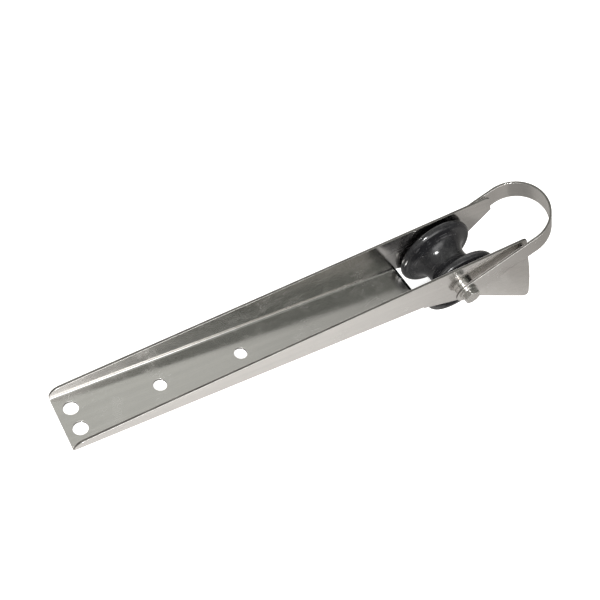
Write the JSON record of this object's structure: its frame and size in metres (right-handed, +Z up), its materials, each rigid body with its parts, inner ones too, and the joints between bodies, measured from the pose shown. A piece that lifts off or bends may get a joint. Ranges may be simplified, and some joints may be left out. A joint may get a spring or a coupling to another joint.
{
  "type": "bow roller",
  "caption": "Open stainless channel that rises towards a waisted roller between folded guide ears, with a hinged U-shaped bail over the front to keep the chain in.",
  "frame": {"origin": "midway between the two rear bolt holes, on the underside of the floor", "axes": "+X runs forward along the channel to the roller and bail, +Z is up away from the deck, and the roller turns about Y"},
  "size_m": [0.4288, 0.0906, 0.0893],
  "materials": {
    "channel_steel": "polished stainless",
    "bail_steel": "polished stainless strip",
    "bolt_steel": "turned and forged stainless",
    "washer_steel": "stamped stainless",
    "spacer_steel": "turned stainless",
    "roller_rubber": "moulded, glossy black",
    "bush_nylon": "natural nylon",
    "ring_nylon": "blue nylon"
  },
  "bodies": {
    "channel": {"channel": "channel_steel", "axle_bolt": "bolt_steel", "axle_nut": "bolt_steel", "nut_locking_ring": "ring_nylon", "head_washer": "washer_steel", "nut_washer": "washer_steel", "spacer_left": "spacer_steel", "spacer_right": "spacer_steel", "thrust_washer_left": "bush_nylon", "thrust_washer_right": "bush_nylon"},
    "roller": {"roller": "roller_rubber", "roller_bush": "bush_nylon"},
    "bail": {"bail": "bail_steel"}
  },
  "joints": [
    {"name": "roller_spin", "type": "hinge", "parent": "channel", "child": "roller", "pos_m": [0.3255, 0, 0.012], "axis": [0, 1, 0], "continuous": true},
    {"name": "bail_swing", "type": "hinge", "parent": "channel", "child": "bail", "pos_m": [0.3255, 0, 0.012], "axis": [0, -1, 0], "range_deg": [0, 125]}
  ]
}
